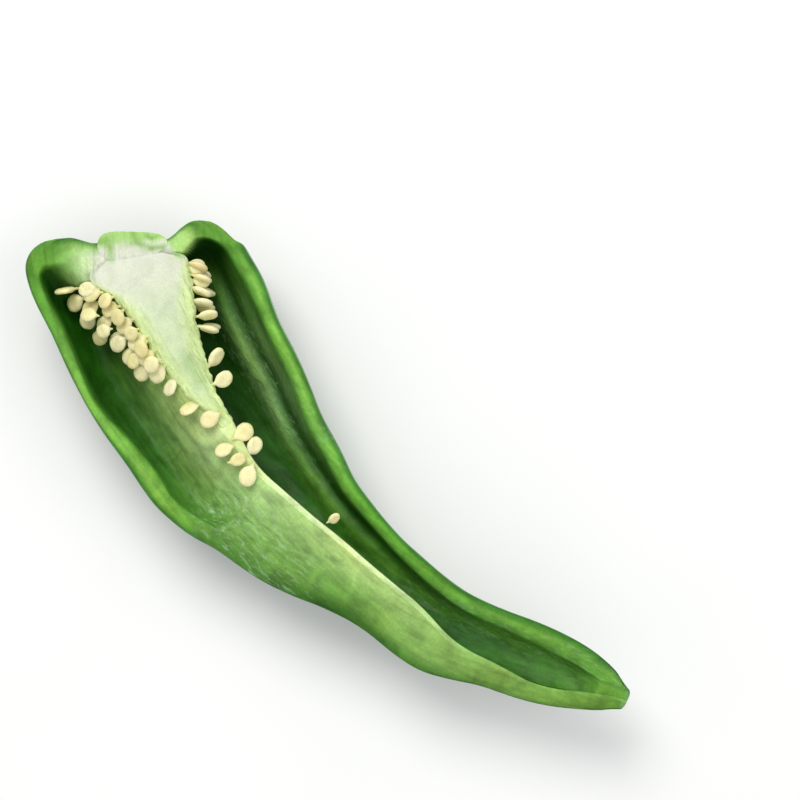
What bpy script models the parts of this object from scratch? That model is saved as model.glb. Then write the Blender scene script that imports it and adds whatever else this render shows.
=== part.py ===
# Half of a long green pepper, cut lengthwise, lying on its rounded back with the cut face up.
# Metres, +Z up. The fruit runs along +X from its stem end to its tip; the origin is the middle
# of its footprint, on the surface it rests on. "Along" is a distance on the curved mid-line,
# "across" is measured square to that line in plan, "height" is measured from the cut face.
import math

import bmesh
import bpy
from mathutils import Matrix, Vector

MM = 0.001

# Overall size of the half
LENGTH = 149 * MM
WIDTH = 48 * MM
DEPTH = 23 * MM

# Flesh
WALL = 3.0 * MM
TIP_WALL = 6.0 * MM
CREST_THICKNESS = 1.1 * MM
RIB_THICKNESS = 1.7 * MM
REST_FLAT = 0.45 * MM
FURROW_DEPTH = 0.9 * MM
END_WALL = 4.2 * MM
LEFT_CHAMBER_END = 63 * MM
CUT_ABOVE = 3 * MM

# Core that holds the seeds
CORE_START = 6.2 * MM
CORE_LENGTH = 41 * MM
CORE_WIDTH = 22 * MM
CORE_DEPTH = 11 * MM
SEAT_WIDENING = 1.5 * MM

# Cut stem base
STUB_RADIUS = 7.7 * MM
STUB_HEIGHT = 6.4 * MM
STUB_RISE = 0.7 * MM
DIMPLE_RADIUS = 14.0 * MM
DIMPLE_DEPTH = 2.4 * MM

# Seeds
SEED_LENGTH = 4.2 * MM
SEED_WIDTH = 3.6 * MM
SEED_THICKNESS = 1.5 * MM
SEED_BEAK = 0.5 * MM
SEED_GAP = 0.4 * MM
ROW_DROP = 1.4 * MM
ROW_NARROWING = 0.04
SWING_WOBBLE = 6

CLEARANCE = 0.3 * MM

# Mid-line and outline: along X and bow in Y as shares of LENGTH, then the half widths to the
# left and right as shares of WIDTH, then the depth as a share of DEPTH.
STATIONS = [
    (0.000, -0.005, 0.500, 0.450, 0.78),
    (0.042, -0.039, 0.495, 0.495, 0.90),
    (0.115, -0.073, 0.465, 0.520, 0.98),
    (0.218, -0.104, 0.465, 0.485, 1.00),
    (0.336, -0.127, 0.460, 0.430, 1.00),
    (0.417, -0.134, 0.382, 0.365, 0.95),
    (0.497, -0.137, 0.325, 0.297, 0.82),
    (0.617, -0.128, 0.218, 0.228, 0.61),
    (0.737, -0.109, 0.222, 0.197, 0.49),
    (0.849, -0.066, 0.170, 0.193, 0.42),
    (0.958, -0.016, 0.107, 0.132, 0.30),
    (1.000, 0.000, 0.045, 0.055, 0.14),
]

# How far across the deepest line lies, and how full the left side is below the cut face, at
# shares of the mid-line.
KEEL = [(0.0, 0.000), (0.2, 0.060), (0.4, 0.110), (0.6, 0.080), (0.8, 0.030), (1.0, 0.000)]
LEFT_FULLNESS = [(0.0, 2.4), (0.35, 2.3), (0.5, 1.6), (0.7, 1.5), (1.0, 1.9)]
RIGHT_FULLNESS = 2.3

# Where the rib between the two chambers meets the cut face, in shares of WIDTH.
CREST = [
    (0.00, 0.025),
    (0.30, 0.025),
    (0.38, 0.000),
    (0.50, 0.046),
    (0.61, 0.040),
    (0.70, 0.022),
    (0.77, -0.045),
    (0.85, -0.072),
    (0.93, -0.050),
    (1.00, 0.000),
]
# How far left of its crest the rib's foot meets the inside of the wall, as a share of the
# left half width.
RIB_FOOT = [(0.0, 0.76), (0.36, 0.74), (0.46, 0.46), (0.60, 0.34), (1.0, 0.45)]
# How far the cut flesh left of the rib falls away towards the skin.
FLESH_FALL = [(0.0, 0.0), (0.34, 0.0), (0.48, 2.0 * MM), (0.75, 1.6 * MM), (1.0, 0.6 * MM)]

# Rounded shoulder: distance along, then the share of the section's size.
SHOULDER = [
    (0.0 * MM, 0.70),
    (0.3 * MM, 0.80),
    (0.9 * MM, 0.88),
    (1.9 * MM, 0.94),
    (3.5 * MM, 0.98),
    (5.4 * MM, 1.00),
]
# Inside of the end wall: distance along beyond END_WALL, then how far the flesh reaches from
# the mid-line on each side, as a share of WIDTH.
END_FLESH = [(0.0, 0.365), (1.8 * MM, 0.315), (4.3 * MM, 0.230), (7.0 * MM, 0.115), (10 * MM, 0.0)]
CHAMBER_START_DEPTH = [(0.0, 0.45), (1.8 * MM, 0.75), (4.3 * MM, 0.93), (7.0 * MM, 1.0)]
# The left chamber runs out in a ramp: distance left to its end, then the share of its depth.
LEFT_RUN_OUT = [(0.0, 0.04), (3 * MM, 0.20), (8 * MM, 0.50), (14 * MM, 0.78), (22 * MM, 1.0)]
CHANNEL_RUN_OUT = [(0.0, 0.20), (2 * MM, 0.55), (6 * MM, 0.85), (14 * MM, 1.0)]

# Core outline at shares of its length: reach to the left and right as shares of CORE_WIDTH,
# then the share of CORE_DEPTH.
CORE = [
    (0.00, 0.38, 0.38, 0.80),
    (0.07, 0.44, 0.50, 0.95),
    (0.16, 0.32, 0.51, 1.00),
    (0.33, 0.20, 0.43, 0.90),
    (0.54, 0.16, 0.31, 0.68),
    (0.75, 0.12, 0.20, 0.48),
    (0.90, 0.07, 0.16, 0.34),
    (1.00, 0.03, 0.12, 0.22),
]

ARC_STEPS = 10
RAMP_STEPS = 6
HULL_STEP = 6 * MM
CORE_STEPS = 12
SPINE_SAMPLES = 600


def mix(a, b, share):
    return a + (b - a) * share


def read_table(table, position):
    """Straight-line reading of a table of (position, value)."""
    if position <= table[0][0]:
        return table[0][1]
    for (p0, v0), (p1, v1) in zip(table, table[1:]):
        if position <= p1:
            return mix(v0, v1, (position - p0) / (p1 - p0))
    return table[-1][1]


def smooth_row(rows, position):
    """Catmull-Rom reading of rows at a fractional row number."""
    first = min(int(position), len(rows) - 2)
    share = position - first
    picks = [rows[max(0, min(len(rows) - 1, first + step))] for step in (-1, 0, 1, 2)]
    values = []
    for a, b, c, d in zip(*picks):
        bend = 2 * a - 5 * b + 4 * c - d
        twist = 3 * b - a - 3 * c + d
        values.append(b + 0.5 * share * (c - a + share * (bend + share * twist)))
    return values


def walk_spine():
    """Samples of (along, row number) for the whole mid-line."""
    samples = [(0.0, 0.0)]
    last = Vector(smooth_row(STATIONS, 0)[:2]) * LENGTH
    for step in range(1, SPINE_SAMPLES + 1):
        row = (len(STATIONS) - 1) * step / SPINE_SAMPLES
        here = Vector(smooth_row(STATIONS, row)[:2]) * LENGTH
        samples.append((samples[-1][0] + (here - last).length, row))
        last = here
    return samples


SPINE = walk_spine()
SPINE_LENGTH = SPINE[-1][0]


def station(along):
    """Plan point, half widths and depth at a distance along the mid-line."""
    x, y, left, right, depth = smooth_row(STATIONS, read_table(SPINE, along))
    return Vector((x * LENGTH, y * LENGTH)), left * WIDTH, right * WIDTH, depth * DEPTH


def heading(along):
    """Unit vectors along and across the mid-line in plan."""
    step = 1 * MM
    before = station(max(along - step, 0))[0]
    after = station(min(along + step, SPINE_LENGTH))[0]
    forward = (after - before).normalized()
    return forward, Vector((-forward.y, forward.x))


def put(along, across, height):
    """A point of the pepper in the frame of the part."""
    base = station(max(0, min(along, SPINE_LENGTH)))[0]
    forward, side = heading(max(0, min(along, SPINE_LENGTH)))
    beyond = along - max(0, min(along, SPINE_LENGTH))
    plan = base + forward * beyond + side * across
    return Vector((plan.x, plan.y, height)) + SHIFT


def crest(along):
    return read_table(CREST, along / SPINE_LENGTH) * WIDTH


def keel(along):
    return read_table(KEEL, along / SPINE_LENGTH) * WIDTH


def wall_height(along, across, inset):
    """Height of the wall's surface, this far inside the skin, below the cut face."""
    _, left, right, depth = station(along)
    middle = keel(along)
    reach = right - inset - middle if across > middle else left - inset + middle
    full = RIGHT_FULLNESS if across > middle else read_table(LEFT_FULLNESS, along / SPINE_LENGTH)
    share = min(1.0, abs(across - middle) / reach)
    return -(depth - inset) * (1 - share**full) ** (1 / full)


def hull_section(along, size):
    """Outer outline of one section: skin from the left rim round to the right rim, then the rib."""
    _, left, right, depth = station(along)
    middle = keel(along)
    fall = read_table(FLESH_FALL, along / SPINE_LENGTH)
    rest = -(DEPTH - REST_FLAT)
    points = []
    for step in range(ARC_STEPS + 1):
        across = middle - (left + middle) * math.cos(0.5 * math.pi * step / ARC_STEPS)
        height = wall_height(along, across, 0) * (1 - fall / depth) - fall
        furrow = math.sin(math.pi * step / ARC_STEPS) ** 3 * left / (0.5 * WIDTH)
        points.append((across * size, max(height + FURROW_DEPTH * furrow, rest) * size))
    for step in range(1, ARC_STEPS + 1):
        across = middle + (right - middle) * math.sin(0.5 * math.pi * step / ARC_STEPS)
        points.append((across * size, max(wall_height(along, across, 0), rest) * size))
    half = 0.5 * CREST_THICKNESS
    points.append(((crest(along) + half) * size, 0.0))
    points.append(((crest(along) - half) * size, 0.0))
    return points


def hull_stations():
    steps = int((SPINE_LENGTH - SHOULDER[-1][0]) / HULL_STEP)
    start = SHOULDER[-1][0]
    return [mix(start, SPINE_LENGTH, step / steps) for step in range(1, steps + 1)]


def hull_rings():
    rings = [(along, hull_section(along, size)) for along, size in SHOULDER]
    rings += [(along, hull_section(along, 1.0)) for along in hull_stations()]
    return rings


def footprint_shift():
    """Moves the middle of the hull's footprint to the origin and its lowest face to Z = 0."""
    points = [put(along, *point) for along, ring in hull_rings() for point in ring]
    low = Vector([min(point[axis] for point in points) for axis in range(3)])
    high = Vector([max(point[axis] for point in points) for axis in range(3)])
    return Vector((-0.5 * (low.x + high.x), -0.5 * (low.y + high.y), -low.z))


SHIFT = Vector((0, 0, 0))
SHIFT = footprint_shift()


def new_object(name, mesh_source, material=None):
    mesh = bpy.data.meshes.new(name)
    mesh_source.to_mesh(mesh)
    mesh_source.free()
    thing = bpy.data.objects.new(name, mesh)
    bpy.context.scene.collection.objects.link(thing)
    if material:
        mesh.materials.append(material)
    return thing


def loft(name, rings, material=None):
    """A closed solid through rings of (along, [(across, height), ...])."""
    shape = bmesh.new()
    loops = [[shape.verts.new(put(along, *point)) for point in ring] for along, ring in rings]
    count = len(loops[0])
    for near, far in zip(loops, loops[1:]):
        for i in range(count):
            j = (i + 1) % count
            shape.faces.new((near[i], near[j], far[j], far[i]))
    shape.faces.new(loops[0][::-1])
    shape.faces.new(loops[-1])
    if shape.calc_volume(signed=True) < 0:
        bmesh.ops.reverse_faces(shape, faces=shape.faces[:])
    bmesh.ops.triangulate(shape, faces=shape.faces[:])
    return new_object(name, shape, material)


def cut_with(target, cutter):
    cutter.hide_render = True
    cutter.display_type = "WIRE"
    cut = target.modifiers.new(cutter.name, "BOOLEAN")
    cut.operation = "DIFFERENCE"
    cut.solver = "EXACT"
    cut.object = cutter


def make_material(name, colour, roughness):
    material = bpy.data.materials.new(name)
    material.use_nodes = True
    surface = material.node_tree.nodes["Principled BSDF"]
    surface.inputs["Base Color"].default_value = (*colour, 1.0)
    surface.inputs["Roughness"].default_value = roughness
    material.diffuse_color = (*colour, 1.0)
    return material


def rib_foot(along):
    return crest(along) - read_table(RIB_FOOT, along / SPINE_LENGTH) * station(along)[1]


def rib_curve(along, edge, foot, foot_height):
    """The rib's face from its foot up to its edge at the cut face."""
    points = []
    for step in range(1, RAMP_STEPS + 1):
        share = 1 - step / RAMP_STEPS
        points.append((mix(edge, foot, share), foot_height * share**1.5))
    return points


def end_reach(along):
    return read_table(END_FLESH, along - END_WALL) * WIDTH


def end_share(along):
    """One where the chambers start behind the end wall, falling to nought past the core's top."""
    return read_table(END_FLESH, along - END_WALL) / END_FLESH[0][1]


def left_chamber_section(along):
    _, left, _, _ = station(along)
    edge = min(crest(along) - 0.5 * CREST_THICKNESS, -end_reach(along))
    rim = -(left - WALL)
    foot = mix(rib_foot(along), mix(edge, rim, 0.3), end_share(along))
    depth = read_table(CHAMBER_START_DEPTH, along - END_WALL)
    depth *= read_table(LEFT_RUN_OUT, LEFT_CHAMBER_END - along)
    points = [(rim, CUT_ABOVE)]
    for step in range(ARC_STEPS + 1):
        across = mix(foot, rim, math.cos(0.5 * math.pi * step / ARC_STEPS))
        points.append((across, wall_height(along, across, WALL) * depth))
    points += rib_curve(along, edge, foot, points[-1][1])
    points.append((edge, CUT_ABOVE))
    return points


def channel_section(along):
    """The right chamber, which reaches under the rib and runs on to the tip."""
    _, left, right, _ = station(along)
    edge = max(crest(along) + 0.5 * CREST_THICKNESS, end_reach(along))
    rim = right - WALL
    foot = mix(rib_foot(along) + RIB_THICKNESS, mix(edge, rim, 0.3), end_share(along))
    foot = max(foot, 0.85 * (WALL - left))
    depth = read_table(CHAMBER_START_DEPTH, along - END_WALL)
    depth *= read_table(CHANNEL_RUN_OUT, SPINE_LENGTH - TIP_WALL - along)
    points = [(rim, CUT_ABOVE)]
    for step in range(2 * ARC_STEPS + 1):
        across = mix(foot, rim, 0.5 + 0.5 * math.cos(0.5 * math.pi * step / ARC_STEPS))
        points.append((across, wall_height(along, across, WALL) * depth))
    points += rib_curve(along, edge, foot, points[-1][1])
    points.append((edge, CUT_ABOVE))
    return points


def chamber_stations(end):
    starts = [END_WALL + distance for distance, _ in END_FLESH]
    steps = int((end - starts[-1]) / (0.75 * HULL_STEP))
    return starts + [mix(starts[-1], end, step / steps) for step in range(1, steps + 1)]


def core_reach(share):
    """Reach to the left and right, and depth, at a share of the core's length."""
    rows = [(position, row) for row, (position, *_) in enumerate(CORE)]
    _, left, right, depth = smooth_row(CORE, read_table(rows, share))
    return left * CORE_WIDTH, right * CORE_WIDTH, depth * CORE_DEPTH


def core_section(share, grow=0.0, widen=0.0):
    """U-shaped outline of the core, or of its seat when it is grown by a clearance."""
    left, right, depth = core_reach(share)
    middle = 0.5 * (right - left)
    half = 0.5 * (left + right) + grow + widen
    points = []
    for step in range(CORE_STEPS + 1):
        turn = math.pi * step / CORE_STEPS
        points.append((middle - half * math.cos(turn), -(depth + grow) * math.sin(turn) ** 0.8))
    return points


def make_core(material):
    rings = []
    for step in range(CORE_STEPS + 1):
        share = step / CORE_STEPS
        rings.append((CORE_START + share * CORE_LENGTH, core_section(share)))
    return loft("placenta_core", rings, material)


def make_core_seat():
    """Clears the flesh round the core, and the rib's top below it."""
    rings = []
    for step in range(-1, CORE_STEPS + 2):
        share = max(0.0, min(1.0, step / CORE_STEPS))
        along = CORE_START + share * CORE_LENGTH
        if step < 0:
            along -= CLEARANCE
        if step > CORE_STEPS:
            along += CLEARANCE
        section = core_section(share, CLEARANCE, SEAT_WIDENING * share)
        top = [(section[-1][0], CUT_ABOVE), (section[0][0], CUT_ABOVE)]
        rings.append((along, section + top))
    return loft("core_seat", rings)


def stem_profile():
    """Half outline of the stem base, as (distance from its axis, distance along)."""
    bottom = STUB_HEIGHT - STUB_RISE
    return [
        (0.0, -STUB_RISE),
        (0.62 * STUB_RADIUS, -0.7 * STUB_RISE),
        (0.92 * STUB_RADIUS, 0.1 * bottom),
        (STUB_RADIUS, 0.34 * bottom),
        (0.95 * STUB_RADIUS, 0.66 * bottom),
        (0.72 * STUB_RADIUS, 0.94 * bottom),
        (0.0, bottom),
    ]


def seat_profile():
    """The dimple round the stem base, then the seat that the base sits in."""
    radius = STUB_RADIUS + CLEARANCE
    bottom = STUB_HEIGHT - STUB_RISE + CLEARANCE
    return [
        (0.0, -CUT_ABOVE),
        (DIMPLE_RADIUS, -CUT_ABOVE),
        (DIMPLE_RADIUS, -0.2 * MM),
        (mix(radius, DIMPLE_RADIUS, 0.5), 0.45 * DIMPLE_DEPTH),
        (radius, DIMPLE_DEPTH),
        (0.96 * radius, 0.70 * bottom),
        (0.75 * radius, bottom),
        (0.0, bottom),
    ]


def spin_stem(name, profile, turn, start, material=None):
    """Turns an outline about the stem's axis, which lies in the cut face."""
    forward, side = heading(0)
    axis = Vector((forward.x, forward.y, 0))
    across = Vector((side.x, side.y, 0))
    centre = put(0, 0, 0)
    shape = bmesh.new()
    first = Matrix.Rotation(start, 3, axis) @ across
    verts = [shape.verts.new(centre + axis * along + first * out) for out, along in profile]
    edges = [shape.edges.new(pair) for pair in zip(verts, verts[1:])]
    bmesh.ops.spin(shape, geom=verts + edges, cent=centre, axis=axis, angle=turn, steps=14)
    bmesh.ops.remove_doubles(shape, verts=shape.verts[:], dist=0.00001)
    bmesh.ops.holes_fill(shape, edges=shape.edges[:], sides=0)
    bmesh.ops.triangulate(shape, faces=shape.faces[:])
    bmesh.ops.recalc_face_normals(shape, faces=shape.faces[:])
    return new_object(name, shape, material)


def make_flesh(material):
    flesh = loft("pepper_flesh", hull_rings(), material)
    left_stations = chamber_stations(LEFT_CHAMBER_END)
    left_rings = [(along, left_chamber_section(along)) for along in left_stations]
    cut_with(flesh, loft("left_chamber", left_rings))
    channel_stations = chamber_stations(SPINE_LENGTH - TIP_WALL)
    channel_rings = [(along, channel_section(along)) for along in channel_stations]
    cut_with(flesh, loft("right_chamber", channel_rings))
    cut_with(flesh, make_core_seat())
    lean = math.radians(20)
    cut_with(flesh, spin_stem("stem_seat", seat_profile(), -math.pi - 2 * lean, lean))
    return flesh


def seed_shape():
    """One flat seed, its long side along +Z and its attached end, with a short beak, at -Z."""
    shape = bmesh.new()
    bmesh.ops.create_uvsphere(shape, u_segments=10, v_segments=6, radius=0.5)
    tip = min(shape.verts, key=lambda vert: vert.co.z)
    for vert in shape.verts:
        vert.co = Vector((vert.co.x * SEED_THICKNESS, vert.co.y * SEED_WIDTH, vert.co.z * SEED_LENGTH))
    tip.co.z -= SEED_BEAK
    bmesh.ops.triangulate(shape, faces=shape.faces[:])
    bmesh.ops.recalc_face_normals(shape, faces=shape.faces[:])
    return shape


def make_seed(name, place, angles, material):
    """A seed at (along, across, height); its outer end is swung, dipped and rolled by degrees."""
    along, across, height = place
    swing, dip, roll = [math.radians(angle) for angle in angles]
    forward, side = heading(along)
    frame = Matrix(((forward.x, side.x, 0), (forward.y, side.y, 0), (0, 0, 1)))
    outward = Matrix.Rotation(swing, 3, "Z") @ Matrix.Rotation(math.radians(90) + dip, 3, "Y")
    shape = seed_shape()
    turn = (frame @ outward @ Matrix.Rotation(roll, 3, "Z")).to_4x4()
    bmesh.ops.transform(shape, matrix=Matrix.Translation(put(along, across, height)) @ turn, verts=shape.verts)
    return new_object(name, shape, material)


def core_edge(along, side):
    """How far across the core's left (-1) or right (+1) edge lies."""
    left, right, _ = core_reach((along - CORE_START) / CORE_LENGTH)
    return right if side > 0 else -left


def make_seed_row(row, material):
    """Evenly pitched seeds beside the core, the row set out by a share of the room to the wall."""
    name, count, start, pitch, side, out, height, dip, roll = row
    beside = 0.5 * SEED_LENGTH + SEED_BEAK + CLEARANCE
    for step in range(count):
        along = start + step * pitch
        _, left, right, _ = station(along)
        wall = (right if side > 0 else left) - WALL
        room = wall - abs(core_edge(along, side)) - 2 * beside
        share = max(0.0, out - ROW_NARROWING * step)
        across = core_edge(along, side) + side * (beside + share * room)
        swing = side * 90 + SWING_WOBBLE * math.sin(2.3 * step + start / MM)
        make_seed(f"{name}_{step + 1}", (along, across, height), (swing, dip, roll), material)


def make_seeds(material):
    beside = 0.5 * SEED_LENGTH + SEED_BEAK + CLEARANCE
    flat_pitch = SEED_WIDTH + SEED_GAP
    edge_pitch = SEED_THICKNESS + 4 * SEED_GAP
    drop = SEED_THICKNESS + ROW_DROP
    rows = [
        ("upper_left_seed", 6, 10.2 * MM, flat_pitch, -1, 0.0, -1.2 * MM, 30, 0),
        ("middle_left_seed", 5, 12.1 * MM, flat_pitch, -1, 0.45, -1.2 * MM - drop, 30, 12),
        ("lower_left_seed", 3, 10.2 * MM, flat_pitch, -1, 0.82, -1.0 * MM - 2 * drop, 35, -10),
        ("upper_right_seed", 6, 11.0 * MM, edge_pitch, 1, 0.0, -1.8 * MM, 12, 72),
        ("lower_right_seed", 4, 12.8 * MM, 1.4 * edge_pitch, 1, 0.0, -3.4 * MM - drop, 20, 65),
    ]
    for row in rows:
        make_seed_row(row, material)
    singles = [
        (7.9 * MM, WALL - station(7.9 * MM)[1] + beside, -3.9 * MM, -100, 5, 70),
        (34.6 * MM, core_edge(34.6 * MM, -1) - beside, -0.9 * MM, -70, 15, 40),
        (40.2 * MM, core_edge(40.2 * MM, -1) - beside, -0.4 * MM, -95, 5, 55),
        (33.6 * MM, core_edge(33.6 * MM, 1) + beside, -1.6 * MM, 100, 10, 60),
        (38.6 * MM, core_edge(38.6 * MM, 1) + beside, -1.4 * MM, 90, 20, 10),
        (44.6 * MM, -2.0 * MM, 1.2 * MM, -100, 0, 0),
        (51.0 * MM, crest(51 * MM) + 0.5 * CREST_THICKNESS + beside, -1.2 * MM, 90, 25, 0),
        (55.2 * MM, crest(55 * MM) + 0.5 * CREST_THICKNESS + beside, -1.4 * MM, 90, 20, 20),
        (51.6 * MM, -3.4 * MM, 1.1 * MM, -112, 5, 40),
        (55.4 * MM, -0.2 * MM, 1.25 * MM, 75, 0, 0),
        (59.6 * MM, -3.4 * MM, 0.8 * MM, -80, 5, 15),
        (80.0 * MM, crest(80 * MM) + 0.5 * CREST_THICKNESS + beside, -0.8 * MM, 65, 5, 50),
    ]
    for number, (along, across, height, swing, dip, roll) in enumerate(singles, 1):
        make_seed(f"rib_seed_{number}", (along, across, height), (swing, dip, roll), material)


def clear_scene():
    for thing in list(bpy.data.objects):
        bpy.data.objects.remove(thing, do_unlink=True)


def main():
    clear_scene()
    flesh_green = make_material("pepper_green", (0.16, 0.36, 0.05), 0.4)
    core_white = make_material("core_white", (0.72, 0.76, 0.55), 0.55)
    stem_green = make_material("stem_green", (0.34, 0.50, 0.16), 0.55)
    seed_cream = make_material("seed_cream", (0.82, 0.74, 0.42), 0.5)
    make_flesh(flesh_green)
    make_core(core_white)
    spin_stem("stem_base", stem_profile(), -math.pi, 0.0, stem_green)
    make_seeds(seed_cream)


main()
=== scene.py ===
# Half of a long green pepper, cut lengthwise and lying on its back: skin, flesh, core, seeds.
# Metres, +Z up. "along" runs down the curved mid-line from the stem end, "across" is square
# to it in plan (left is minus), and "height" is measured from the cut face. Tables are in mm.
import math

import bmesh
import bpy
import numpy as np
from mathutils import Matrix, Vector, noise


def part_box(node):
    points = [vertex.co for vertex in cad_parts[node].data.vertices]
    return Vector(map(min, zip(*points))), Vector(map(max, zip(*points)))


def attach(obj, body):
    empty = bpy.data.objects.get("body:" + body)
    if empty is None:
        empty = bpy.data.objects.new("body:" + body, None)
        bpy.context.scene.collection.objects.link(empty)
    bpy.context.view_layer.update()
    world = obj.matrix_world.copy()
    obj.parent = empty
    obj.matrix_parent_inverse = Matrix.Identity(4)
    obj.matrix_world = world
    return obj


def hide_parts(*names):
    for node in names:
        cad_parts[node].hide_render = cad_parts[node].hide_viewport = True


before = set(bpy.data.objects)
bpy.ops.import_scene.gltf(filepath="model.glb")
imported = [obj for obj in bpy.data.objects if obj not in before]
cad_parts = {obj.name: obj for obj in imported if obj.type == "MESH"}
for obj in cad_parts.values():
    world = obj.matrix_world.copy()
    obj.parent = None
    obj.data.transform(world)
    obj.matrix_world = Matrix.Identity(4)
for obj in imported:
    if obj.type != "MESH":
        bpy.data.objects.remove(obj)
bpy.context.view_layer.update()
mm = 0.001

# Outline, depth and inside of the half. Each table is (mm along, value).
pepper = {
    "length": 149.0,
    "stations": [
        (0.000, -0.005), (0.042, -0.039), (0.115, -0.073), (0.218, -0.104), (0.336, -0.127), (0.417, -0.134),
        (0.497, -0.137), (0.617, -0.128), (0.737, -0.109), (0.849, -0.066), (0.958, -0.016), (1.000, 0.000),
    ],
    "left": [
        (0, 24.0), (4, 24.2), (8, 23.7), (12, 22.5), (16, 22.1), (24, 22.3), (30, 22.4), (36, 22.2), (42, 21.8),
        (48, 22.0), (53, 22.1), (60, 20.5), (66, 18.4), (72, 17.1), (78, 15.7), (84, 13.9), (90, 11.7),
        (96, 10.3), (102, 9.9), (108, 10.4), (114, 10.6), (120, 9.3), (126, 8.1), (132, 8.0), (138, 7.7),
        (144, 6.8), (150, 5.3), (153.5, 4.2), (155.6, 3.0), (156.6, 1.8),
    ],
    "right": [
        (0, 21.8), (4, 22.8), (8, 23.8), (14, 24.5), (20, 25.0), (24, 24.9), (28, 24.4), (34, 23.4), (42, 22.8),
        (48, 21.9), (54, 20.5), (60, 19.0), (66, 17.5), (72, 15.9), (78, 14.2), (84, 13.0), (90, 11.8),
        (96, 10.9), (102, 10.5), (108, 10.0), (116, 9.5), (126, 9.3), (134, 9.4), (140, 8.9), (146, 7.8),
        (151, 6.0), (154, 4.5), (155.8, 3.3), (156.6, 1.9),
    ],
    "depth": [
        (0, 18.0), (6, 20.7), (17, 22.5), (33, 23.0), (52, 23.0), (65, 21.8), (77, 18.9), (96, 14.0), (115, 11.3),
        (132, 9.6), (150, 6.9), (154.5, 4.6), (156.6, 1.4),
    ],
    "keel": [(0, 0.0), (31, 2.9), (63, 5.3), (94, 3.8), (125, 1.4), (156.6, 0.0)],
    "leftFullness": [(0, 2.4), (55, 2.3), (78, 1.7), (110, 1.6), (156.6, 1.9)],
    "rightFullness": 2.3,
    "crest": [
        (0, 1.2), (44, 1.6), (54, 0.9), (60, 0.3), (66, 0.9), (72, 1.7), (84, 2.4), (96, 1.9), (108, 1.4),
        (114, -0.6), (120, -2.3), (127, -2.5), (133, -3.6), (139, -4.1), (147, -2.4), (156.6, 0.0),
    ],
    "crestWidths": [(0, 1.1), (43, 2.6), (48, 3.4), (54, 1.8), (60, 1.1), (110, 1.0), (156.6, 0.8)],
    "foot": [(0, 16.8), (56, 16.3), (72, 8.0), (94, 4.6), (156.6, 2.4)],
    "fall": [(0, 0.0), (53, 0.0), (75, 2.0), (117, 1.6), (156.6, 0.5)],
    "leftWall": [
        (0, 3.0), (8, 2.5), (20, 2.6), (28, 1.9), (33, 2.5), (38, 3.6), (48, 4.6), (54, 3.8), (64, 4.4),
        (100, 3.4), (140, 2.2), (156, 1.0),
    ],
    "rightWall": [
        (0, 4.6), (8, 4.0), (24, 4.0), (34, 3.2), (48, 3.8), (66, 4.0), (78, 3.7), (90, 3.0), (102, 3.5),
        (126, 3.9), (138, 4.8), (150, 4.6), (156.6, 2.0),
    ],
    "floorWall": 3.0,
    "ribWidth": 1.7,
    "leftChamber": {"end": 64.0, "runOut": 24},
    "channel": {"end": 150.5, "runOut": 9},
    # Where the two chambers start behind the end wall: (mm across, mm along).
    "leftStart": [
        (-23, 8.5), (-22, 6.6), (-20.8, 5.0), (-19, 4.3), (-17.4, 4.9), (-16, 6.6), (-14.5, 8.2), (-12, 8.6),
        (-9, 8.0),
    ],
    "rightStart": [
        (5, 8.2), (9, 8.0), (11.2, 7.4), (12.6, 5.7), (14, 4.2), (15.6, 3.5), (17.6, 4.0), (19.2, 5.4),
        (20.6, 8.0), (21.4, 11),
    ],
    "ridge": [
        (8, 14.5), (20, 14.2), (30, 13.4), (44, 12.4), (52, 10.9), (60, 8.9), (68, 7.4), (80, 5.8), (100, 4.0),
    ],
    "ridgeLift": {"first": 2.4, "second": 1.0, "valley": 0.9, "apart": 5.6, "valleyAt": 3.0},
    "dimple": {"full": 8.0, "edge": 14.0, "drop": 2.4, "leftShare": 0.62},
    "endLean": 3.0,
    "rightReach": 1.7,
    "shoulders": {"left": 5.4, "right": 8.5, "least": 0.70},
    "caps": {"rings": 14, "stemMiddle": -0.42, "tipMiddle": -0.5, "tipBulge": 1.3},
    "seatDrop": 2.2,
    "rows": {"fineTo": 12, "fineStep": 0.3, "others": 296},
    "columns": {
        "leftRim": 9, "leftWall": 24, "ramp": 30, "crest": 6, "under": 14, "channel": 38,
        "rightRim": 10, "skin": 52,
    },
    # Long lobes of the skin: (place round it, mm deep).
    "lobes": [(0.24, 1.3), (0.52, 0.9), (0.80, 1.1)],
    # Wet, crinkled flesh, which also carries the painted sheen: how wet, then where along and across it starts,
    # is full, fades and ends.
    "wetPatches": [
        (1.0, (54, 62, 76, 92), (-21, -15, -7, -1)), (0.45, (92, 110, 157, 158), (0, 3, 6.2, 8)),
        (0.55, (16, 26, 62, 80), (7, 11, 17, 20)),
    ],
    # Unevenness: mm size along and across, detail and seed of the noise.
    "lumps": ((6.0, 2.6), 3, 3.1),
    "crinkles": ((2.6, 1.1), 2, 9.7),
    "skinWaves": ((14.0, 9.0), 2, 5.5),
    "uneven": {"lumps": 0.14, "crinkles": 0.05, "deepLumps": 0.22, "wetCrinkles": 0.35, "skin": 0.35},
}

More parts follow.
